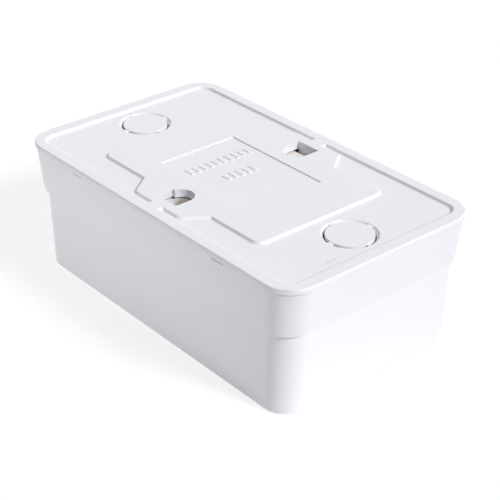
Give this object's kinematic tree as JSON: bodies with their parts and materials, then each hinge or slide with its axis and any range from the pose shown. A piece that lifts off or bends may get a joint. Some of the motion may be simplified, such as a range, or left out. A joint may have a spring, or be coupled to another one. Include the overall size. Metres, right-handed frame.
{
  "type": "surface mounted socket",
  "caption": "Surface mounted twin socket outlet with an earthed round recess each side, a wall plate with cable knockouts and screw windows, lying face down.",
  "frame": {"origin": "middle of the front face, which lies on the floor", "axes": "+X along the length, +Y across the width, +Z from the front face to the wall plate"},
  "size_m": [0.15, 0.0874, 0.0515],
  "materials": {
    "white_plastic": "satin moulded thermoplastic",
    "cream_plastic": "dull moulded thermoset",
    "shutter_plastic": "satin moulded thermoplastic",
    "brass": "stamped or turned, bare",
    "nickel_strip": "nickel plated strip, rolled",
    "zinc_steel": "zinc plated",
    "spring_steel": "drawn wire"
  },
  "bodies": {
    "housing": {"back_plate": "white_plastic", "wall_frame": "white_plastic", "front_cover": "white_plastic", "outlet_insert_left": "white_plastic", "outlet_insert_right": "white_plastic", "contact_base": "cream_plastic", "live_busbar": "brass", "neutral_busbar": "brass", "terminal_block_live": "brass", "terminal_screw_live": "zinc_steel", "terminal_block_neutral": "brass", "terminal_screw_neutral": "zinc_steel", "terminal_block_earth": "brass", "terminal_screw_earth": "zinc_steel", "earth_clip_left": "nickel_strip", "earth_clip_right": "nickel_strip", "earth_link": "nickel_strip", "earth_rivet_left": "brass", "earth_rivet_right": "brass", "shutter_spring_left": "spring_steel", "shutter_spring_right": "spring_steel", "cover_screw_left": "zinc_steel", "cover_screw_right": "zinc_steel", "base_screw_1": "zinc_steel", "base_screw_2": "zinc_steel", "base_screw_3": "zinc_steel", "base_screw_4": "zinc_steel"},
    "left_shutter": {"shutter_left": "shutter_plastic"},
    "right_shutter": {"shutter_right": "shutter_plastic"}
  },
  "joints": [
    {"name": "left_shutter_turn", "type": "hinge", "parent": "housing", "child": "left_shutter", "pos_m": [-0.0355, 0, 0.0213], "axis": [0, 0, 1], "range_deg": [0, 42], "stiffness_Nm_per_rad": 0.008, "springref_deg": -11.46, "deforming": ["shutter_spring_left"]},
    {"name": "right_shutter_turn", "type": "hinge", "parent": "housing", "child": "right_shutter", "pos_m": [0.0355, 0, 0.0213], "axis": [0, 0, 1], "range_deg": [0, 42], "stiffness_Nm_per_rad": 0.008, "springref_deg": -11.46, "deforming": ["shutter_spring_right"]}
  ]
}
